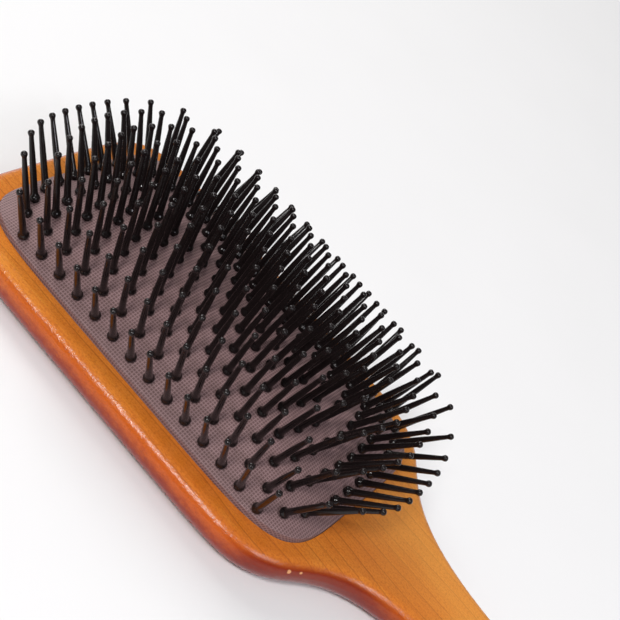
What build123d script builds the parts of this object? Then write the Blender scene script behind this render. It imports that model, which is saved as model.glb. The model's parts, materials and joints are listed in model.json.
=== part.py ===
from build123d import *
from itertools import combinations
from math import comb, cos, prod, radians, sin, sqrt
import os

# Paddle brush: a one-piece wooden paddle and handle, a domed rubber cushion held
# in a routed pocket, and one-piece nylon pins with ball tips set through the rubber.
#
# Millimetres. The origin is on the flat back of the paddle, under the middle of
# the cushion. +Z is up out of the cushion, +Y runs to the tip of the paddle and
# the handle runs to -Y. The brush is symmetric about the YZ plane.

# ---------------------------------------------------------------- paddle
THICKNESS = 9.6  # wood, back to front face
HEAD_HALF_WIDTH = 41.6
HEAD_HALF_LENGTH = 61.4
HEAD_SQUARENESS = 6.0  # superellipse exponent of the paddle's outline
SHOULDER_ANGLE = -40  # degrees: the superellipse runs from the tip to here
FRONT_EDGE_RADIUS = 3.2
BACK_EDGE_RADIUS = 6.0
# half outline below the shoulder: (half width, y), from the paddle to the handle's end
HANDLE_HALF_OUTLINE = [
    (39.6, -46.5),
    (35.4, -53.4),
    (27.3, -60.0),
    (21.3, -65.6),
    (16.6, -73.0),
    (13.5, -82.0),
    (11.8, -93.0),
    (11.2, -106.0),
    (12.4, -124.0),
    (14.6, -143.0),
    (15.2, -158.0),
    (12.6, -170.5),
    (7.2, -176.8),
]
HANDLE_END_Y = -178.6

# ---------------------------------------------------------------- cushion pocket
PAD_HALF_WIDTH = 34.4
PAD_HALF_LENGTH = 54.4
PAD_TIP_SQUARENESS = 7.0  # tighter corners at the paddle's tip
PAD_HANDLE_SQUARENESS = 5.7
POCKET_GAP = 0.1  # between the cushion's skirt and the pocket wall
POCKET_FLOOR = 4.0  # wood left under the pocket
GROOVE_REACH = 1.4  # undercut past the pocket's mouth
GROOVE_HEIGHT = 1.5
LIP_REACH = 1.2
LIP_HEIGHT = 1.3

# ---------------------------------------------------------------- cushion
DOME_RISE = 11.77  # crown above the wood's front face
DOME_X_REACH = 35.84  # where the dome would run out at the level of the wood's face
DOME_Y_REACH = 55.72
DOME_X_LAW = (1, 0, -0.864, 0, -0.136)  # height by powers of x over its reach
DOME_Y_LAW = (1, 0, 0, 0, -0.77, 0, -0.23)  # flatter along the brush, steeper at its ends
DOME_SPAN = 0.985  # share of the reach that the surface is made for
RUBBER = 1.5  # measured straight down
SKIRT = 1.1
BOND_GAP = 0.02  # between pieces that are glued together
CLOTH = 0.35
HOLE_RADIUS = 0.84
VENT_RADIUS = 0.95

# ---------------------------------------------------------------- pins
OUTER_COLUMN = 6  # columns run from -6 to 6 across the cushion
CENTRE_COUNT = 20  # pins in the centre column, one fewer in each column outwards
COLUMN_STEP = 5.69
COLUMN_CROWDING = 0.0022  # the outer columns close up a little on the dome's flank
COLUMN_HALF_LENGTH = 50.4
COLUMN_SHORTENING = 0.185  # share by which the outermost column is shorter
COLUMN_SHORTENING_POWER = 3.5
VENT_INDEX = 16  # this place in the centre column is the air vent
PIN_REACH = 16.5  # rubber surface to the centre of the ball tip
BALL_RADIUS = 0.82
SHAFT_TOP_RADIUS = 0.575
SHAFT_BOTTOM_RADIUS = 0.88
COLLAR_RADIUS = 1.38
COLLAR_EDGE = 0.2  # rounding of the collar's rim
COLLAR_SEAT = 0.42  # collar above the rubber
COLLAR_TOP = 1.4
FLARE_TOP = 2.3
NECK_RADIUS = 0.79
FOOT_RADIUS = 1.3
FOOT_TOP = -2.3
FOOT_BOTTOM = -2.9
LEAN_X_UNIT = 30.0  # lean is worked out on places scaled by these lengths
LEAN_Y_UNIT = 50.0
LEAN_TO_TIP = 0.05

# pins whose feet stand at about the same height on the dome sink together;
# each ring reaches down to this share of the crown's height
RING_FLOORS = [0.90, 0.79, 0.68, 0.57, 0.46, 0.35, 0.24, 0.0]


# ---------------------------------------------------------------- shapes and laws
def superellipse_point(angle, half_width, half_length, squareness):
    """Point of a superellipse in the direction of angle, in degrees."""
    c = cos(radians(angle))
    s = sin(radians(angle))
    reach = abs(c / half_width) ** squareness + abs(s / half_length) ** squareness
    radius = reach ** (-1 / squareness)
    return (radius * c, radius * s)


def pad_outline(grow):
    """Closed outline of the cushion, grown or shrunk all round by grow."""
    points = []
    for angle in range(0, 360, 5):
        squareness = PAD_TIP_SQUARENESS if angle < 180 else PAD_HANDLE_SQUARENESS
        width = PAD_HALF_WIDTH + grow
        length = PAD_HALF_LENGTH + grow
        points.append(superellipse_point(angle, width, length, squareness))
    return points


def paddle_outline():
    """Closed outline of the wood: superellipse head, shoulders, neck and handle."""
    head = []
    for angle in range(85, SHOULDER_ANGLE - 1, -5):
        head.append(superellipse_point(angle, HEAD_HALF_WIDTH, HEAD_HALF_LENGTH, HEAD_SQUARENESS))
    right = head + HANDLE_HALF_OUTLINE
    left = [(-x, y) for x, y in reversed(right)]
    return [(0, HEAD_HALF_LENGTH)] + right + [(0, HANDLE_END_Y)] + left


def law_value(law, t):
    """Value of a polynomial law at t."""
    return sum(factor * t**power for power, factor in enumerate(law))


def dome_height(x, y):
    """Height of the rubber's outer surface above the wood's front face."""
    across = law_value(DOME_X_LAW, x / DOME_X_REACH)
    along = law_value(DOME_Y_LAW, y / DOME_Y_REACH)
    return DOME_RISE * across * along


def law_poles(law, reach):
    """Bezier control values of a law between -DOME_SPAN and DOME_SPAN, as (place, value)."""
    degree = len(law) - 1
    poles = []
    for i in range(degree + 1):
        ends = [-DOME_SPAN] * (degree - i) + [DOME_SPAN] * i
        value = 0
        for power, factor in enumerate(law):
            symmetric = sum(prod(chosen) for chosen in combinations(ends, power))
            value += factor * symmetric / comb(degree, power)
        place = reach * DOME_SPAN * (2 * i / degree - 1)
        poles.append((place, value))
    return poles


def dome_face(depth):
    """Smooth face that lies depth straight below the rubber's outer surface."""
    grid = []
    for x, across in law_poles(DOME_X_LAW, DOME_X_REACH):
        row = []
        for y, along in law_poles(DOME_Y_LAW, DOME_Y_REACH):
            row.append(Vector(x, y, THICKNESS + DOME_RISE * across * along - depth))
        grid.append(row)
    return Face.make_bezier_surface(grid)


def column_x(column):
    """Distance of a column of pins from the brush's middle."""
    return COLUMN_STEP * column * (1 - COLUMN_CROWDING * column**2)


def column_places(column):
    """Places in one column, evenly spread from the paddle's tip towards the handle."""
    count = CENTRE_COUNT - abs(column)
    share = (abs(column) / OUTER_COLUMN) ** COLUMN_SHORTENING_POWER
    half = COLUMN_HALF_LENGTH * (1 - COLUMN_SHORTENING * share)
    return [(column_x(column), half * (1 - 2 * k / (count - 1))) for k in range(count)]


def pin_lean(x, y):
    """Sideways lean of a pin, as (across, along) for one unit of height."""
    u = x / LEAN_X_UNIT
    w = y / LEAN_Y_UNIT
    across = u * (0.395 + 0.28 * u**2 - 0.62 * w**4 + 0.21 * u**2 * w**4)
    along = LEAN_TO_TIP + w * (0.376 + 0.65 * w**4 - 0.42 * u**2)
    return (across, along)


def pin_plane(place):
    """Plane on the rubber's surface with its normal along the pin."""
    x, y = place
    across, along = pin_lean(x, y)
    origin = (x, y, THICKNESS + dome_height(x, y))
    return Plane(origin=origin, z_dir=(across, along, 1))


def vent_place():
    return column_places(0)[VENT_INDEX]


def pin_places(column):
    """Places of the pins of one column, without the air vent."""
    return [p for p in column_places(column) if column != 0 or p != vent_place()]


def ring_of(place):
    """Index of the ring that a place belongs to, from the crown outwards."""
    share = dome_height(*place) / DOME_RISE
    return next(i for i, floor in enumerate(RING_FLOORS) if share >= floor)


# ---------------------------------------------------------------- pieces
def make_paddle():
    """Wooden paddle and handle with rounded edges, pocket and undercut groove."""
    with BuildPart() as wooden_paddle:
        with BuildSketch():
            with BuildLine():
                Spline(*paddle_outline(), periodic=True)
            make_face()
        extrude(amount=THICKNESS)
        front = wooden_paddle.faces().sort_by(Axis.Z)[-1]
        fillet(front.edges(), radius=FRONT_EDGE_RADIUS)
        back = wooden_paddle.faces().sort_by(Axis.Z)[0]
        fillet(back.edges(), radius=BACK_EDGE_RADIUS)
        with BuildSketch(Plane.XY.offset(POCKET_FLOOR)):
            with BuildLine():
                Spline(*pad_outline(POCKET_GAP), periodic=True)
            make_face()
        extrude(amount=THICKNESS, mode=Mode.SUBTRACT)
        with BuildSketch(Plane.XY.offset(POCKET_FLOOR)):
            with BuildLine():
                Spline(*pad_outline(GROOVE_REACH), periodic=True)
            make_face()
        extrude(amount=GROOVE_HEIGHT, mode=Mode.SUBTRACT)
    return wooden_paddle.part


def dome_block(depth, grow):
    """Solid under a dome face, down to the pocket floor, inside a grown outline."""
    with BuildPart() as block:
        add(Solid.extrude(dome_face(depth), Vector(0, 0, -3 * DOME_RISE)))
        with BuildSketch(Plane.XY.offset(POCKET_FLOOR)):
            with BuildLine():
                Spline(*pad_outline(grow), periodic=True)
            make_face()
        extrude(amount=3 * DOME_RISE, mode=Mode.INTERSECT)
    return block.part


def cut_pin_holes(radius, length):
    """Round holes along each pin's axis, and the air vent, through a shell."""
    for column in range(-OUTER_COLUMN, OUTER_COLUMN + 1):
        planes = [pin_plane(place) for place in pin_places(column)]
        with Locations(*[plane.location for plane in planes]):
            Cylinder(radius, length, mode=Mode.SUBTRACT)
    with Locations(pin_plane(vent_place()).location):
        Cylinder(VENT_RADIUS, length, mode=Mode.SUBTRACT)


def make_cushion():
    """Domed rubber with a skirt, a lip under the wood's edge, and holes."""
    outside = dome_block(0, 0)
    inside = dome_block(RUBBER, -SKIRT)
    with BuildPart() as rubber_cushion:
        add(outside)
        with BuildSketch(Plane.XY.offset(POCKET_FLOOR)):
            with BuildLine():
                Spline(*pad_outline(LIP_REACH), periodic=True)
            make_face()
        extrude(amount=LIP_HEIGHT)
        add(inside, mode=Mode.SUBTRACT)
        cut_pin_holes(HOLE_RADIUS, 4 * RUBBER)
    return rubber_cushion.part


def make_backing_cloth():
    """Woven cloth on the inner side of the rubber, which the pins' feet pull on."""
    top = dome_block(RUBBER + BOND_GAP, -SKIRT - BOND_GAP)
    below = dome_block(RUBBER + BOND_GAP + CLOTH, 0)
    with BuildPart() as cushion_backing_cloth:
        add(top)
        add(below, mode=Mode.SUBTRACT)
        cut_pin_holes(HOLE_RADIUS, 6 * RUBBER)
    return cushion_backing_cloth.part


def make_glue_line():
    """Adhesive that fills the groove around and above the cushion's lip."""
    with BuildPart() as cushion_glue_line:
        with BuildSketch(Plane.XY.offset(POCKET_FLOOR)):
            with BuildLine():
                Spline(*pad_outline(GROOVE_REACH - BOND_GAP), periodic=True)
            make_face()
        extrude(amount=GROOVE_HEIGHT)
        with BuildSketch(Plane.XY.offset(POCKET_FLOOR)):
            with BuildLine():
                Spline(*pad_outline(LIP_REACH + BOND_GAP), periodic=True)
            make_face()
        extrude(amount=LIP_HEIGHT, mode=Mode.SUBTRACT)
        with BuildSketch(Plane.XY.offset(POCKET_FLOOR)):
            with BuildLine():
                Spline(*pad_outline(POCKET_GAP), periodic=True)
            make_face()
        extrude(amount=GROOVE_HEIGHT, mode=Mode.SUBTRACT)
    return cushion_glue_line.part


def make_pin():
    """One nylon pin along +Z: foot, neck, collar, flare, tapered shaft and ball."""
    join = PIN_REACH - sqrt(BALL_RADIUS**2 - SHAFT_TOP_RADIUS**2)
    with BuildPart() as pin:
        with BuildSketch(Plane.XZ):
            with BuildLine():
                Polyline(
                    (0, FOOT_BOTTOM),
                    (FOOT_RADIUS, FOOT_BOTTOM),
                    (FOOT_RADIUS, FOOT_TOP),
                    (NECK_RADIUS, FOOT_TOP),
                    (NECK_RADIUS, COLLAR_SEAT),
                    (COLLAR_RADIUS - COLLAR_EDGE, COLLAR_SEAT),
                )
                ThreePointArc(
                    (COLLAR_RADIUS - COLLAR_EDGE, COLLAR_SEAT),
                    (COLLAR_RADIUS, (COLLAR_SEAT + COLLAR_TOP) / 2),
                    (COLLAR_RADIUS - COLLAR_EDGE, COLLAR_TOP),
                )
                Line((COLLAR_RADIUS - COLLAR_EDGE, COLLAR_TOP), (SHAFT_BOTTOM_RADIUS, FLARE_TOP))
                Line((SHAFT_BOTTOM_RADIUS, FLARE_TOP), (SHAFT_TOP_RADIUS, join))
                ThreePointArc(
                    (SHAFT_TOP_RADIUS, join),
                    (BALL_RADIUS, PIN_REACH),
                    (0, PIN_REACH + BALL_RADIUS),
                )
                Line((0, PIN_REACH + BALL_RADIUS), (0, FOOT_BOTTOM))
            make_face()
        revolve(axis=Axis.Z)
    return pin.part


def make_pin_group(pin, places):
    """Separate identical pins, one at each place."""
    pins = [pin_plane(place).location * pin.solid() for place in places]
    return Compound(children=pins)


def write(shape, name):
    shape.label = name
    export_step(shape, f"parts/{name}.step")


# ---------------------------------------------------------------- build
os.makedirs("parts", exist_ok=True)

write(make_paddle(), "wooden_paddle")
write(make_cushion(), "rubber_cushion")
write(make_backing_cloth(), "cushion_backing_cloth")
write(make_glue_line(), "cushion_glue_line")

nylon_pin = make_pin()
SIDES = {"left": range(-OUTER_COLUMN, 0), "centre": range(0, 1), "right": range(1, OUTER_COLUMN + 1)}
for ring in range(len(RING_FLOORS)):
    for side, columns in SIDES.items():
        places = [p for column in columns for p in pin_places(column) if ring_of(p) == ring]
        if places:
            heights = [dome_height(*p) for p in places]
            print(ring + 1, side, len(places), "pins at", round(sum(heights) / len(heights), 2))
            write(make_pin_group(nylon_pin, places), f"pins_ring_{ring + 1}_{side}")
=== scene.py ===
import json
import math

import bpy
from mathutils import Matrix, Vector, noise


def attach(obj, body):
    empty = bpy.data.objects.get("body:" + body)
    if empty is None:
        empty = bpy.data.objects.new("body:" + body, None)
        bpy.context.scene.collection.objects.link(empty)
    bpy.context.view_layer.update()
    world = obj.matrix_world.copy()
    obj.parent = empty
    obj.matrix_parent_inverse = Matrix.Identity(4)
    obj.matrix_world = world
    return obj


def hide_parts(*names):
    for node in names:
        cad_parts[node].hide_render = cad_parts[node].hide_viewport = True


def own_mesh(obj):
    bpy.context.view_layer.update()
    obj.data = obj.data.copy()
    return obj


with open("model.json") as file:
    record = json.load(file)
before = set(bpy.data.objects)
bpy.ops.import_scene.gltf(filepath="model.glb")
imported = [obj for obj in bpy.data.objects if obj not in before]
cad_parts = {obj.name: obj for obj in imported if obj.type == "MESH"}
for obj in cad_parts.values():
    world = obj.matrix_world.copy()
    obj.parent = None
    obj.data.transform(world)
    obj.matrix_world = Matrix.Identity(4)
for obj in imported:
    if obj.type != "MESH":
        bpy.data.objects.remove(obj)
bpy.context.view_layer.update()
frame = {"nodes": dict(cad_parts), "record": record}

# Lengths are in millimetres unless a comment says otherwise.
MM = 0.001

# ---------------------------------------------------------------- the brush's own laws
# The same laws as the CAD model's, so that every detail sits on it.
THICKNESS = 9.6
PAD_HALF_WIDTH, PAD_HALF_LENGTH = 34.4, 54.4
PAD_TIP_SQUARENESS, PAD_HANDLE_SQUARENESS = 7.0, 5.7
DOME_RISE = 11.77
DOME_X_REACH, DOME_Y_REACH = 35.84, 55.72
DOME_SLOPE_STEP = 0.05  # half the distance over which the dome's slope is measured
OUTER_COLUMN, CENTRE_COUNT = 6, 20
COLUMN_STEP, COLUMN_CROWDING = 5.69, 0.0022
COLUMN_HALF_LENGTH, COLUMN_SHORTENING, COLUMN_SHORTENING_POWER = 50.4, 0.185, 3.5
LEAN_X_UNIT, LEAN_Y_UNIT = 30, 50  # lean is worked out on places scaled by these lengths
LEAN_TO_TIP = 0.05  # every pin leans a little to the tip of the paddle
VENT_INDEX = 16  # this place in the centre column is the air vent
RING_FLOORS = [0.90, 0.79, 0.68, 0.57, 0.46, 0.35, 0.24, 0.0]  # shares of the dome's rise


def dome_height(x, y):
    u, v = x / DOME_X_REACH, y / DOME_Y_REACH
    return DOME_RISE * (1 - 0.864 * u**2 - 0.136 * u**4) * (1 - 0.77 * v**4 - 0.23 * v**6)


def dome_normal(x, y):
    h = DOME_SLOPE_STEP
    slope_x = (dome_height(x + h, y) - dome_height(x - h, y)) / (2 * h)
    slope_y = (dome_height(x, y + h) - dome_height(x, y - h)) / (2 * h)
    return Vector((-slope_x, -slope_y, 1)).normalized()


def column_x(column):
    return COLUMN_STEP * column * (1 - COLUMN_CROWDING * column**2)


def column_places(column):
    count = CENTRE_COUNT - abs(column)
    share = (abs(column) / OUTER_COLUMN) ** COLUMN_SHORTENING_POWER
    half = COLUMN_HALF_LENGTH * (1 - COLUMN_SHORTENING * share)
    return [(column_x(column), half * (1 - 2 * k / (count - 1))) for k in range(count)]


def pin_axis(x, y):
    """Direction of a pin: the pins fan out from the middle of the cushion."""
    u, w = x / LEAN_X_UNIT, y / LEAN_Y_UNIT
    across = u * (0.395 + 0.28 * u**2 - 0.62 * w**4 + 0.21 * u**2 * w**4)
    along = LEAN_TO_TIP + w * (0.376 + 0.65 * w**4 - 0.42 * u**2)
    return Vector((across, along, 1)).normalized()


VENT = column_places(0)[VENT_INDEX]
PINS = [
    place
    for column in range(-OUTER_COLUMN, OUTER_COLUMN + 1)
    for place in column_places(column)
    if place != VENT
]


def ring_of(place):
    """Index of the ring of pins that stand at about the same height on the dome."""
    share = dome_height(*place) / DOME_RISE
    return next(i for i, floor in enumerate(RING_FLOORS) if share >= floor)


# ---------------------------------------------------------------- mesh helpers
def mesh_object(name, verts, faces):
    mesh = bpy.data.meshes.new(name)
    mesh.from_pydata([tuple(c * MM for c in v) for v in verts], [], faces)
    mesh.validate()
    mesh.update()
    mesh.shade_smooth()
    obj = bpy.data.objects.new(name, mesh)
    bpy.context.scene.collection.objects.link(obj)
    return obj


def grid_faces(cells_x, cells_y):
    """Faces of a grid whose points are numbered row by row, seen from above."""
    width = cells_x + 1
    starts = [j * width + i for j in range(cells_y) for i in range(cells_x)]
    return [(a, a + 1, a + width + 1, a + width) for a in starts]


def grid_rim(cells_x, cells_y):
    """The points round the edge of a grid, as (column, row), in order."""
    rim = [(i, 0) for i in range(cells_x)]
    rim += [(cells_x, j) for j in range(cells_y)]
    rim += [(i, cells_y) for i in range(cells_x, 0, -1)]
    rim += [(0, j) for j in range(cells_y, 0, -1)]
    return rim


def band_faces(upper, lower):
    """Faces of the closed band between two loops of as many points."""
    after = [(k + 1) % len(upper) for k in range(len(upper))]
    return [(upper[k], lower[k], lower[n], upper[n]) for k, n in enumerate(after)]


# ---------------------------------------------------------------- colours and node helpers
def srgb(r, g, b):
    """Linear colour from 8-bit display values."""
    def one(c):
        c = c / 255
        return c / 12.92 if c <= 0.04045 else ((c + 0.055) / 1.055) ** 2.4
    return (one(r), one(g), one(b))


WOOD_DARK, WOOD_MIDDLE, WOOD_LIGHT = srgb(204, 106, 30), srgb(218, 128, 42), srgb(230, 152, 60)
LATE_WOOD, RING_LINE = srgb(172, 88, 30), srgb(136, 66, 20)
FINE_FIBRE, WOOD_FLECK, NECK_GOLD = srgb(150, 78, 26), srgb(158, 70, 20), srgb(232, 168, 84)
SIDE_STAIN, LOW_STAIN_AND_SHADE, END_GRAIN_AND_SHADE = srgb(194, 72, 8), srgb(136, 18, 2), srgb(120, 20, 4)
STAIN_SPECK, BARE_WOOD = srgb(112, 32, 16), srgb(230, 168, 112)
# rubber colours: painted shade in the weave's pits, painted highlight on its raised threads
RUBBER_SHADED_PIT_DARK, RUBBER_SHADED_PIT_LIGHT = srgb(95, 69, 69), srgb(112, 84, 84)
RUBBER_LIT_THREAD_DARK, RUBBER_LIT_THREAD_LIGHT = srgb(150, 120, 120), srgb(170, 141, 141)
RUBBER_DUST = srgb(196, 180, 180)
NYLON_DARK, NYLON_LIGHT = (0.009, 0.006, 0.006), (0.018, 0.011, 0.011)
CLOTH_DARK, CLOTH_LIGHT, CLOTH_SHADE = srgb(92, 78, 76), srgb(140, 124, 120), srgb(70, 58, 56)
ADHESIVE_DARK, ADHESIVE_LIGHT = srgb(150, 118, 70), srgb(190, 160, 108)
FLOOR_DARK, FLOOR_LIGHT = (0.87, 0.87, 0.87), (0.90, 0.90, 0.90)


class Nodes:
    """Short hand for building a material's node tree."""

    def __init__(self, name):
        self.material = bpy.data.materials.new(name)
        self.material.use_nodes = True
        self.tree = self.material.node_tree
        self.tree.nodes.clear()
        out = self.tree.nodes.new("ShaderNodeOutputMaterial")
        self.shader = self.tree.nodes.new("ShaderNodeBsdfPrincipled")
        self.tree.links.new(self.shader.outputs[0], out.inputs[0])

    def put(self, kind, inputs=None, **settings):
        node = self.tree.nodes.new(kind)
        for key, value in settings.items():
            setattr(node, key, value)
        for key, value in (inputs or {}).items():
            self.feed(node.inputs[key], value)
        return node

    def feed(self, socket, value):
        if isinstance(value, bpy.types.NodeSocket):
            self.tree.links.new(value, socket)
        else:
            socket.default_value = value

    def math(self, operation, a, b=0.0, c=0.0):
        node = self.put("ShaderNodeMath", operation=operation)
        for socket, value in zip(node.inputs, (a, b, c)):
            self.feed(socket, value)
        return node.outputs[0]

    def place(self, scale=(1, 1, 1)):
        """Object coordinates in millimetres, scaled."""
        coords = self.put("ShaderNodeTexCoord")
        mapping = self.put("ShaderNodeMapping")
        mapping.inputs["Scale"].default_value = [s / MM for s in scale]
        self.tree.links.new(coords.outputs["Object"], mapping.inputs["Vector"])
        return mapping.outputs[0]

    def axes(self, vector):
        return self.put("ShaderNodeSeparateXYZ", {0: vector}).outputs

    def noise(self, vector, scale, detail=2.0, rough=0.5):
        return self.put(
            "ShaderNodeTexNoise",
            {"Vector": vector, "Scale": scale, "Detail": detail, "Roughness": rough},
        ).outputs["Fac"]

    def ramp(self, value, *stops):
        node = self.put("ShaderNodeValToRGB", {"Fac": value})
        elements = node.color_ramp.elements
        while len(elements) > 1:
            elements.remove(elements[-1])
        for i, (position, colour) in enumerate(stops):
            if i:
                element = elements.new(position)
            else:
                element = elements[0]
                element.position = position
            element.color = (*colour, 1)
        return node.outputs["Color"]

    def step(self, value, low, high, to_low=0.0, to_high=1.0):
        """Smooth step of a value between two limits."""
        node = self.put("ShaderNodeMapRange", interpolation_type="SMOOTHSTEP")
        for key, number in (("Value", value), ("From Min", low), ("From Max", high),
                            ("To Min", to_low), ("To Max", to_high)):
            self.feed(node.inputs[key], number)
        return node.outputs[0]

    def mix(self, factor, a, b):
        node = self.put("ShaderNodeMix", data_type="RGBA")
        self.feed(node.inputs["Factor"], factor)
        self.feed(node.inputs["A"], a if isinstance(a, bpy.types.NodeSocket) else (*a, 1))
        self.feed(node.inputs["B"], b if isinstance(b, bpy.types.NodeSocket) else (*b, 1))
        return node.outputs["Result"]

    def tint(self, base, mask, share, colour):
        """The base colour with a share of another colour where the mask is 1."""
        return self.mix(self.math("MULTIPLY", mask, share), base, colour)

    def wander(self, value, width):
        """A noise value as a shift of half the width either way."""
        return self.math("MULTIPLY", self.math("SUBTRACT", value, 0.5), width)

    def bump(self, height, strength, distance):
        """Normal from a height; distance is in metres."""
        node = self.put("ShaderNodeBump", {"Height": height, "Strength": strength})
        node.inputs["Distance"].default_value = distance
        return node.outputs[0]

    def finish(self, **sockets):
        names = {"colour": "Base Color", "rough": "Roughness", "normal": "Normal",
                 "coat": "Coat Weight", "coat_rough": "Coat Roughness",
                 "coat_ior": "Coat IOR", "coat_normal": "Coat Normal",
                 "specular": "Specular IOR Level",
                 "sheen": "Sheen Weight", "sheen_rough": "Sheen Roughness"}
        for key, value in sockets.items():
            self.feed(self.shader.inputs[names[key]], value)
        return self.material


# ---------------------------------------------------------------- materials
RING_SPACING = 3.9  # between growth lines in the wood
RING_TILT = 0.55  # how far a growth line shifts across the brush for its depth in the wood
NECK_START, NECK_GOLDEN = -46.0, -64.0
CHIPS = [((-31.6, -55.6, 7.3), 0.62), ((-29.0, -57.6, 7.3), 0.42)]  # near place and size


def wood_material(paddle):
    """Orange-brown stained hardwood under a satin lacquer, grain along the brush."""
    n = Nodes("stained_wood")
    place = n.place()
    x, y, z = n.axes(place)

    def drawn(along, scale, detail=3.0, rough=0.55):
        """Noise drawn out along the brush."""
        stretch = n.put("ShaderNodeVectorMath", {0: place, 1: (1.0, along, 1.0)},
                        operation="MULTIPLY")
        return n.noise(stretch.outputs[0], scale, detail, rough)

    # growth rings: tilted sheets that wander slowly along the brush
    slow = n.wander(drawn(0.22, 0.045, 2.0), 10.0)
    quick = n.wander(drawn(0.12, 0.5, 2.0), 0.9)
    sheet = n.math("ADD", x, n.math("MULTIPLY", z, RING_TILT))
    sheet = n.math("ADD", sheet, n.math("ADD", slow, quick))
    ring_phase = n.math("FRACT", n.math("MULTIPLY", sheet, 1 / RING_SPACING))
    ring_line = n.math("MULTIPLY", n.step(ring_phase, 0.88, 0.975),
                       n.step(ring_phase, 1.0, 0.98))
    late_wood = n.step(ring_phase, 0.0, 0.95)
    broken = n.step(drawn(0.06, 0.35, 3.0), 0.28, 0.58)
    ring_line = n.math("MULTIPLY", ring_line, broken)
    fibre = drawn(0.035, 2.6, 4.0, 0.62)
    fine = drawn(0.05, 6.5, 3.0, 0.6)
    fleck = n.step(drawn(0.7, 2.3, 4.0, 0.74), 0.46, 0.64)
    cloud = n.noise(n.place((0.035, 0.018, 0.035)), 1.0, 3.0)
    tone = n.math("ADD", n.math("MULTIPLY", cloud, 0.6), n.math("MULTIPLY", fibre, 0.4))
    base = n.ramp(tone, (0.32, WOOD_DARK), (0.50, WOOD_MIDDLE), (0.66, WOOD_LIGHT))
    base = n.tint(base, late_wood, 0.12, LATE_WOOD)
    base = n.tint(base, ring_line, 0.50, RING_LINE)
    base = n.tint(base, n.step(fine, 0.50, 0.68), 0.06, FINE_FIBRE)
    base = n.tint(base, fleck, 0.42, WOOD_FLECK)

    # the wood is more golden in the middle of the neck
    gold = n.math("MULTIPLY", n.step(y, NECK_START, NECK_GOLDEN), n.step(x, -20.0, 10.0))
    base = n.tint(base, gold, 0.30, NECK_GOLD)

    # the stain is deeper round the rim, and deepest where the rim cuts across the grain; the
    # darkening low on the rim and across the grain also carries painted shade
    facing = n.axes(n.put("ShaderNodeTexCoord").outputs["Normal"])
    side = n.step(facing[2], 0.985, 0.45)
    cross = n.math("MULTIPLY", n.step(n.math("ABSOLUTE", facing[1]), 0.06, 0.50), side)
    mottle = n.noise(n.place((0.9, 0.55, 0.9)), 1.0, 5.0, 0.72)
    # painted shade with deeper stain: the rim darkens towards the bottom, under its rounding
    low = n.step(n.math("ADD", z, n.wander(mottle, 5.0)), 7.8, 3.6)
    base = n.tint(base, side, 0.62, SIDE_STAIN)
    base = n.tint(base, low, 0.88, LOW_STAIN_AND_SHADE)
    # painted shade with end-grain stain: deep red where the rim cuts across the grain, as on the
    # shoulders
    base = n.tint(base, cross, 0.86, END_GRAIN_AND_SHADE)
    speck = n.math("MULTIPLY", n.step(n.noise(place, 2.4, 3.0, 0.7), 0.54, 0.68), side)
    base = n.tint(base, speck, 0.30, STAIN_SPECK)

    # two small chips in the lacquer on one shoulder
    for near, size in CHIPS:
        spot = paddle.closest_point_on_mesh(Vector(near) * MM)[1]
        away = n.put("ShaderNodeVectorMath", {0: place, 1: tuple(spot / MM)},
                     operation="DISTANCE")
        rag = n.math("MULTIPLY_ADD", n.noise(place, 1.5, 3.0), size, -size / 2)
        chip = n.step(n.math("ADD", away.outputs["Value"], rag), size, size * 0.7)
        base = n.tint(base, chip, 0.9, BARE_WOOD)

    rough = n.step(n.noise(place, 2.8, 2.0), 0.35, 0.75, 0.38, 0.52)
    relief = n.math("ADD", n.math("MULTIPLY", fibre, 0.6), n.math("MULTIPLY", fleck, -0.35))
    grain = n.bump(relief, 0.20, 0.00006)
    skin = n.math("ADD", n.noise(place, 2.2, 2.0), n.noise(place, 0.7, 2.0))
    orange_peel = n.bump(skin, 0.80, 0.00011)
    return n.finish(colour=base, rough=rough, normal=grain, specular=0.05, coat=0.8,
                    coat_rough=0.19, coat_ior=1.48, coat_normal=orange_peel)


WEAVE_PITCH = 0.74  # of the texture in the rubber
THREAD_SHARPNESS = 3.4


def rubber_material():
    """Mauve-brown rubber with a fine square woven texture and a little dust, with painted shade
    in its pits and a painted highlight on its raised threads.
    """
    n = Nodes("woven_rubber")
    place = n.place()
    threads = n.put("ShaderNodeAttribute", attribute_type="GEOMETRY", attribute_name="weave")
    across, along = n.axes(threads.outputs["Vector"])[:2]
    wobble = n.wander(n.noise(place, 0.10, 2.0), 0.25)

    def thread(axis):
        turn = n.math("MULTIPLY", n.math("ADD", axis, wobble), 2 * math.pi / WEAVE_PITCH)
        wave = n.math("MULTIPLY_ADD", n.math("COSINE", turn), 0.5, 0.5)
        return n.math("POWER", wave, THREAD_SHARPNESS)

    line = n.math("MAXIMUM", thread(across), thread(along))
    patchy_contrast = n.step(n.noise(place, 0.9, 3.0, 0.6), 0.25, 0.75, 0.65, 1.0)
    line = n.math("MULTIPLY", line, patchy_contrast)
    tone = n.noise(place, 0.06, 3.0)
    # painted shade in the pits of the weave and painted highlight on its raised threads,
    # stronger or weaker in patches at random
    shaded_pit = n.mix(tone, RUBBER_SHADED_PIT_DARK, RUBBER_SHADED_PIT_LIGHT)
    top = n.mix(tone, RUBBER_LIT_THREAD_DARK, RUBBER_LIT_THREAD_LIGHT)
    base = n.mix(line, shaded_pit, top)
    specks = n.step(n.noise(place, 1.7, 3.0, 0.7), 0.70, 0.78)
    base = n.tint(base, specks, 0.45, RUBBER_DUST)
    return n.finish(colour=base, rough=n.step(tone, 0.3, 0.7, 0.56, 0.68),
                    normal=n.bump(line, 0.5, 0.00007), specular=0.35, sheen=0.10,
                    sheen_rough=0.5)


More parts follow.
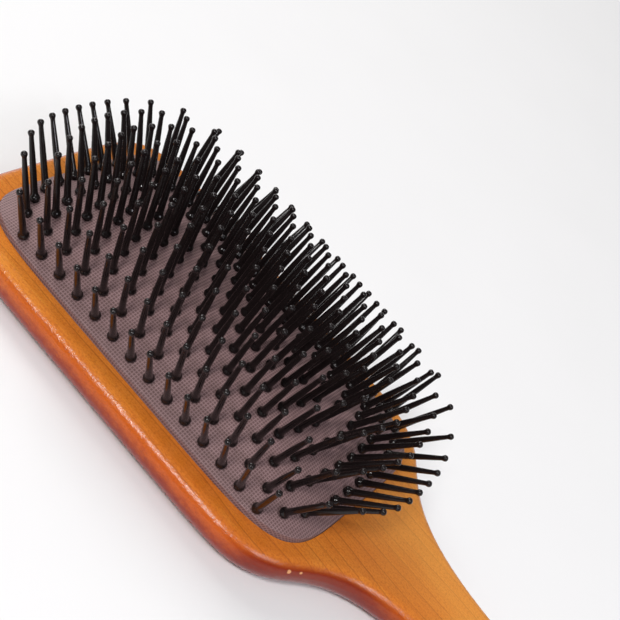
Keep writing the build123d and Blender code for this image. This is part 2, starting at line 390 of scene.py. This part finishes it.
def nylon_material():
    """Glossy brown-black nylon with faint wear."""
    n = Nodes("black_nylon")
    place = n.place()
    smear = n.noise(place, 0.7, 3.0)
    fine = n.noise(place, 5.0, 2.0)
    base = n.mix(n.step(fine, 0.50, 0.80), NYLON_DARK, NYLON_LIGHT)
    return n.finish(colour=base, rough=n.step(smear, 0.3, 0.75, 0.10, 0.20),
                    normal=n.bump(fine, 0.05, 0.00002), specular=0.32)


CLOTH_THREAD_TURN = 9.0  # radians of the weave's wave for each millimetre


def cloth_material():
    """Grey-brown plain weave."""
    n = Nodes("backing_weave")
    place = n.place()
    x, y = n.axes(place)[:2]
    threads = n.math("MULTIPLY",
                     n.math("SINE", n.math("MULTIPLY", x, CLOTH_THREAD_TURN)),
                     n.math("SINE", n.math("MULTIPLY", y, CLOTH_THREAD_TURN)))
    weave = n.math("MULTIPLY_ADD", threads, 0.5, 0.5)
    tone = n.noise(place, 0.3, 3.0)
    base = n.mix(weave, CLOTH_DARK, CLOTH_LIGHT)
    base = n.tint(base, tone, 0.3, CLOTH_SHADE)
    return n.finish(colour=base, rough=0.9, normal=n.bump(weave, 0.5, 0.0001))


def adhesive_material():
    """Amber adhesive, dried a little uneven."""
    n = Nodes("dried_adhesive")
    tone = n.noise(n.place(), 0.5, 3.0)
    base = n.mix(tone, ADHESIVE_DARK, ADHESIVE_LIGHT)
    return n.finish(colour=base, rough=n.step(tone, 0.3, 0.7, 0.35, 0.6),
                    normal=n.bump(tone, 0.3, 0.0002))


def floor_material():
    """Plain pale floor."""
    n = Nodes("pale_floor")
    tone = n.noise(n.place(), 0.02, 3.0)
    base = n.mix(tone, FLOOR_DARK, FLOOR_LIGHT)
    return n.finish(colour=base, rough=0.6, specular=0.2)


# ---------------------------------------------------------------- cushion
CELLS_X, CELLS_Y = 200, 320
WALL = 1.45
ARC_GROWTH = 5.8e-5  # how much longer the dome is than its plan, across the brush
PIN_CELL = 6  # side of the squares that pins are looked up by
BEAD_RADIUS, BEAD_WIDTH, BEAD_HEIGHT = 1.52, 0.22, 0.12
DIMPLE_REACH, DIMPLE_DEPTH = 2.5, 0.16
PIN_RELIEF_REACH = DIMPLE_REACH + 0.6
VENT_REACH, VENT_RADIUS, VENT_DEPTH, VENT_SOFTNESS = 3, 0.85, 1.5, 0.10
VENT_LIP_RADIUS, VENT_LIP_WIDTH, VENT_LIP_HEIGHT = 1.3, 0.3, 0.10
SURFACE_WAVE, WAVE_TURNS, WAVE_SLICE = 0.05, 0.12, 3.7  # height, places per mm, third place
# how the edge rolls over and goes down into the pocket, as (inset, depth)
EDGE_ROLL = ((0.0, 0.12), (0.02, 0.35), (0.03, 0.8), (0.03, 1.6), (0.03, 3.0), (0.25, 3.2))
# loops of the underside, as shares of the cushion's plan
UNDERSIDE_SHARES = (0.965, 0.9, 0.75, 0.6, 0.45, 0.3, 0.15, 0.04)


def pad_point(u, v, grow=0.0):
    """Point of the cushion's plan for u, v in -1..1, following its rounded outline."""
    m = max(abs(u), abs(v))
    if m < 1e-9:
        return (0.0, 0.0)
    squareness = PAD_TIP_SQUARENESS if v >= 0 else PAD_HANDLE_SQUARENESS
    edge = ((abs(u) / m) ** squareness + (abs(v) / m) ** squareness) ** (-1 / squareness)
    scale = 1 - (1 - edge) * m**3
    return ((PAD_HALF_WIDTH + grow) * u * scale, (PAD_HALF_LENGTH + grow) * v * scale)


def grid_uv(i, j):
    return 2 * i / CELLS_X - 1, 2 * j / CELLS_Y - 1


def thread_place(u, v, down=0.0):
    """Place in the weave, measured along the surface of the rubber."""
    x, y = pad_point(u, v)
    wide_x, wide_y = pad_point(u, v, 1.0)
    out = Vector((wide_x - x, wide_y - y))
    if out.length > 0:
        out.normalize()
    along_x = x * (1 + ARC_GROWTH * x**2) + out.x * down
    return (along_x, y + out.y * down, 0.0)


def pin_cell(x, y):
    return (int(x // PIN_CELL), int(y // PIN_CELL))


def near_pins():
    cells = {}
    for x, y in PINS:
        column, row = pin_cell(x, y)
        for dx in (-1, 0, 1):
            for dy in (-1, 0, 1):
                cells.setdefault((column + dx, row + dy), []).append((x, y))
    return cells


def pin_relief(d):
    """Height added at a distance from a pin: a shallow dimple with a small moulded bead."""
    fall = max(0.0, 1 - d / DIMPLE_REACH)
    dimple = DIMPLE_DEPTH * fall * fall * (3 - 2 * fall)
    return BEAD_HEIGHT * math.exp(-(((d - BEAD_RADIUS) / BEAD_WIDTH) ** 2)) - dimple


def vent_relief(d):
    """Height added at a distance from the air vent: a hole with a low lip."""
    hole = VENT_DEPTH / (1 + math.exp((d - VENT_RADIUS) / VENT_SOFTNESS))
    lip = math.exp(-(((d - VENT_LIP_RADIUS) / VENT_LIP_WIDTH) ** 2))
    return VENT_LIP_HEIGHT * lip - hole


def make_cushion():
    """Closed shell of the domed rubber: top, rounded rim, skirt and underside."""
    cells = near_pins()
    verts, weave = [], []

    def relief(x, y):
        add = 0.0
        for px, py in cells.get(pin_cell(x, y), ()):
            d = math.hypot(x - px, y - py)
            if d < PIN_RELIEF_REACH:
                add += pin_relief(d)
        d = math.hypot(x - VENT[0], y - VENT[1])
        if d < VENT_REACH:
            add += vent_relief(d)
        return add

    for j in range(CELLS_Y + 1):
        for i in range(CELLS_X + 1):
            u, v = grid_uv(i, j)
            x, y = pad_point(u, v)
            spot = Vector((x * WAVE_TURNS, y * WAVE_TURNS, WAVE_SLICE))
            lift = relief(x, y) + SURFACE_WAVE * noise.noise(spot)
            point = Vector((x, y, THICKNESS + dome_height(x, y))) + dome_normal(x, y) * lift
            verts.append(tuple(point))
            weave.append(thread_place(u, v))
    faces = grid_faces(CELLS_X, CELLS_Y)

    rim = grid_rim(CELLS_X, CELLS_Y)
    loop = [j * (CELLS_X + 1) + i for i, j in rim]
    for inset, depth in EDGE_ROLL:
        below = list(range(len(verts), len(verts) + len(rim)))
        for i, j in rim:
            u, v = grid_uv(i, j)
            x, y = pad_point(u, v, -inset)
            verts.append((x, y, THICKNESS + dome_height(*pad_point(u, v)) - depth))
            weave.append(thread_place(u, v, depth))
        faces += band_faces(loop, below)
        loop = below

    # inner side: the wall turns up and follows the dome from below
    for share in UNDERSIDE_SHARES:
        below = list(range(len(verts), len(verts) + len(rim)))
        for i, j in rim:
            u, v = (share * part for part in grid_uv(i, j))
            x, y = pad_point(u, v)
            verts.append((x, y, THICKNESS + dome_height(x, y) - WALL))
            weave.append(thread_place(u, v))
        faces += band_faces(loop, below)
        loop = below
    middle = len(verts)
    verts.append((0, 0, THICKNESS + dome_height(0, 0) - WALL))
    weave.append((0, 0, 0))
    faces += [(a, middle, b) for a, b in zip(loop, loop[1:] + loop[:1])]

    shell = mesh_object("cushion_rubber", verts, faces)
    threads = shell.data.attributes.new("weave", "FLOAT_VECTOR", "POINT")
    threads.data.foreach_set("vector", [c for place in weave for c in place])
    return shell


CLOTH_CELLS_X, CLOTH_CELLS_Y = 60, 96
CLOTH_TOP, CLOTH_THICKNESS = 1.56, 0.29  # below the rubber's outer surface, straight down
CLOTH_SPAN = 0.955  # share of the cushion's plan that the cloth covers


def make_backing_cloth():
    """Closed thin sheet of woven cloth that follows the dome from below."""
    verts = []
    for depth in (CLOTH_TOP, CLOTH_TOP + CLOTH_THICKNESS):
        for j in range(CLOTH_CELLS_Y + 1):
            for i in range(CLOTH_CELLS_X + 1):
                u = CLOTH_SPAN * (2 * i / CLOTH_CELLS_X - 1)
                v = CLOTH_SPAN * (2 * j / CLOTH_CELLS_Y - 1)
                x, y = pad_point(u, v)
                verts.append((x, y, THICKNESS + dome_height(x, y) - depth))
    below = len(verts) // 2
    top = grid_faces(CLOTH_CELLS_X, CLOTH_CELLS_Y)
    under = [(a + below, d + below, c + below, b + below) for a, b, c, d in top]
    loop = [j * (CLOTH_CELLS_X + 1) + i for i, j in grid_rim(CLOTH_CELLS_X, CLOTH_CELLS_Y)]
    edge = band_faces(loop, [point + below for point in loop])
    return mesh_object("backing_cloth_sheet", verts, top + under + edge)


# ---------------------------------------------------------------- pins
# radius and height over the rubber: neck, flared collar, tapered shaft and ball tip
PIN_PROFILE = [
    (0.79, -0.40), (0.79, 0.10), (1.10, 0.24), (1.26, 0.36), (1.36, 0.55), (1.38, 0.80),
    (1.33, 1.04), (1.20, 1.28), (1.06, 1.50), (0.97, 1.75), (0.91, 2.05), (0.885, 2.4),
    (0.87, 3.2), (0.83, 5.0), (0.80, 7.5), (0.755, 9.5), (0.70, 11.5), (0.635, 13.4),
    (0.585, 15.0), (0.575, 15.6), (0.60, 15.84), (0.66, 16.02), (0.75, 16.24), (0.805, 16.44),
    (0.82, 16.60), (0.785, 16.82), (0.69, 17.02), (0.53, 17.18), (0.30, 17.28), (0.0, 17.32),
]
PIN_FOOT, PIN_TIP = PIN_PROFILE[0][1], PIN_PROFILE[-1][1]
PIN_SIDES = 20


def make_pins(name, places):
    """Pins of one group as one mesh, each turned from the same profile."""
    verts, faces = [], []
    for x, y in places:
        base = Vector((x, y, THICKNESS + dome_height(x, y)))
        turn = pin_axis(x, y).to_track_quat("Z", "Y").to_matrix()
        start = len(verts)
        for r, z in PIN_PROFILE[:-1]:
            for k in range(PIN_SIDES):
                angle = 2 * math.pi * k / PIN_SIDES
                local = Vector((r * math.cos(angle), r * math.sin(angle), z))
                verts.append(tuple(base + turn @ local))
        tip, foot = len(verts), len(verts) + 1
        for z in (PIN_TIP, PIN_FOOT):
            verts.append(tuple(base + turn @ Vector((0, 0, z))))
        loops = [list(range(first, first + PIN_SIDES)) for first in range(start, tip, PIN_SIDES)]
        for low, high in zip(loops, loops[1:]):
            faces += band_faces(high, low)
        faces += [(a, b, tip) for a, b in zip(loops[-1], loops[-1][1:] + loops[-1][:1])]
        faces += [(b, a, foot) for a, b in zip(loops[0], loops[0][1:] + loops[0][:1])]
    return mesh_object(name, verts, faces)


# ---------------------------------------------------------------- camera, lights and floor
# The camera stands at the photo's angle. Its axes are directions in the brush's own frame.
CAMERA_PLACE = (-262.3, -62.0, 213.47)
CAMERA_RIGHT, CAMERA_UP = (0.48923, -0.65717, 0.5734), (0.28428, 0.7417, 0.60751)
CAMERA_LENS, CAMERA_SENSOR = 79.82, 36
CAMERA_SHIFT = (-0.0336, 0.0190)  # shares of the picture's width
CAMERA_CLIP = (0.01, 20)  # metres

SKY_LOW, SKY_HIGH = 0.12, 0.26  # strength at the horizon and overhead
SKY_HIGH_FROM = 0.9  # upward share of a direction that counts as overhead
SKY_COLOUR = (0.98, 0.985, 1.0, 1)
LIGHTS_AIM = (0, 0, 0.01)  # metres, as are the places and sizes below
# name, place, size, power in watts, colour
LIGHTS = [
    ("key", (-1.37, 0.16, 1.45), (0.34, 0.50), 21.0, (1, 0.985, 0.975)),
    ("window", (0.42, 1.12, 0.90), (0.7, 0.7), 13.0, (1, 0.985, 0.97)),
    ("shoulder", (-0.43, -0.81, 0.92), (0.60, 0.20), 5.0, (0.93, 0.93, 1.0)),
]
FLOOR_SIZE, FLOOR_CELLS = 6, 20  # size in metres
FLOOR_DROP = 0.05  # keeps the floor out of the plane of the flat back


def make_camera():
    data = bpy.data.cameras.new("camera")
    camera = bpy.data.objects.new("camera", data)
    bpy.context.scene.collection.objects.link(camera)
    right = Vector(CAMERA_RIGHT).normalized()
    up = Vector(CAMERA_UP).normalized()
    back = right.cross(up).normalized()
    up = back.cross(right)
    turn = Matrix((right, up, back)).transposed().to_4x4()
    camera.matrix_world = Matrix.Translation(Vector(CAMERA_PLACE) * MM) @ turn
    data.sensor_width = CAMERA_SENSOR
    data.lens = CAMERA_LENS
    data.shift_x, data.shift_y = CAMERA_SHIFT
    data.clip_start, data.clip_end = CAMERA_CLIP
    bpy.context.scene.camera = camera


def make_light(name, place, size, power, colour):
    data = bpy.data.lights.new(name, "AREA")
    data.shape = "RECTANGLE"
    data.size, data.size_y = size
    data.energy = power
    data.color = colour
    light = bpy.data.objects.new(name, data)
    bpy.context.scene.collection.objects.link(light)
    light.location = place
    light.rotation_mode = "QUATERNION"
    light.rotation_quaternion = (Vector(place) - Vector(LIGHTS_AIM)).to_track_quat("Z", "Y")


def make_sky():
    """Soft world light, brighter overhead than at the horizon."""
    world = bpy.data.worlds.new("studio")
    bpy.context.scene.world = world
    world.use_nodes = True
    tree = world.node_tree
    coords = tree.nodes.new("ShaderNodeTexCoord")
    split = tree.nodes.new("ShaderNodeSeparateXYZ")
    height = tree.nodes.new("ShaderNodeMapRange")
    height.inputs["From Min"].default_value = 0.0
    height.inputs["From Max"].default_value = SKY_HIGH_FROM
    height.inputs["To Min"].default_value = SKY_LOW
    height.inputs["To Max"].default_value = SKY_HIGH
    background = tree.nodes["Background"]
    background.inputs["Color"].default_value = SKY_COLOUR
    tree.links.new(coords.outputs["Generated"], split.inputs[0])
    tree.links.new(split.outputs["Z"], height.inputs["Value"])
    tree.links.new(height.outputs[0], background.inputs["Strength"])


def make_studio():
    bpy.context.scene.view_settings.view_transform = "Standard"
    make_sky()
    for light in LIGHTS:
        make_light(*light)
    bpy.ops.mesh.primitive_grid_add(x_subdivisions=FLOOR_CELLS, y_subdivisions=FLOOR_CELLS,
                                    size=FLOOR_SIZE)
    floor = bpy.context.object
    floor.name = "floor"
    floor.location.z = -FLOOR_DROP * MM
    floor.data.materials.append(floor_material())


# ---------------------------------------------------------------- scene
def dress(node, material):
    """Gives a CAD node its material."""
    obj = frame["nodes"][node]
    obj.data.materials.clear()
    obj.data.materials.append(material)


make_camera()
make_studio()

dress("wooden_paddle", wood_material(frame["nodes"]["wooden_paddle"]))
dress("cushion_glue_line", adhesive_material())

cushion = make_cushion()
cushion.data.materials.append(rubber_material())
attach(cushion, "paddle")
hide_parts("rubber_cushion")

cloth = make_backing_cloth()
cloth.data.materials.append(cloth_material())
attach(cloth, "paddle")
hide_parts("cushion_backing_cloth")

nylon = nylon_material()
for ring in range(len(RING_FLOORS)):
    places = [place for place in PINS if ring_of(place) == ring]
    group = make_pins(f"pins_{ring + 1}", places)
    group.data.materials.append(nylon)
    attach(group, f"pin_ring_{ring + 1}")
    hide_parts(*frame["record"]["behaviour"]["bodies"][f"pin_ring_{ring + 1}"])

for soft in (cushion, cloth):
    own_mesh(soft)
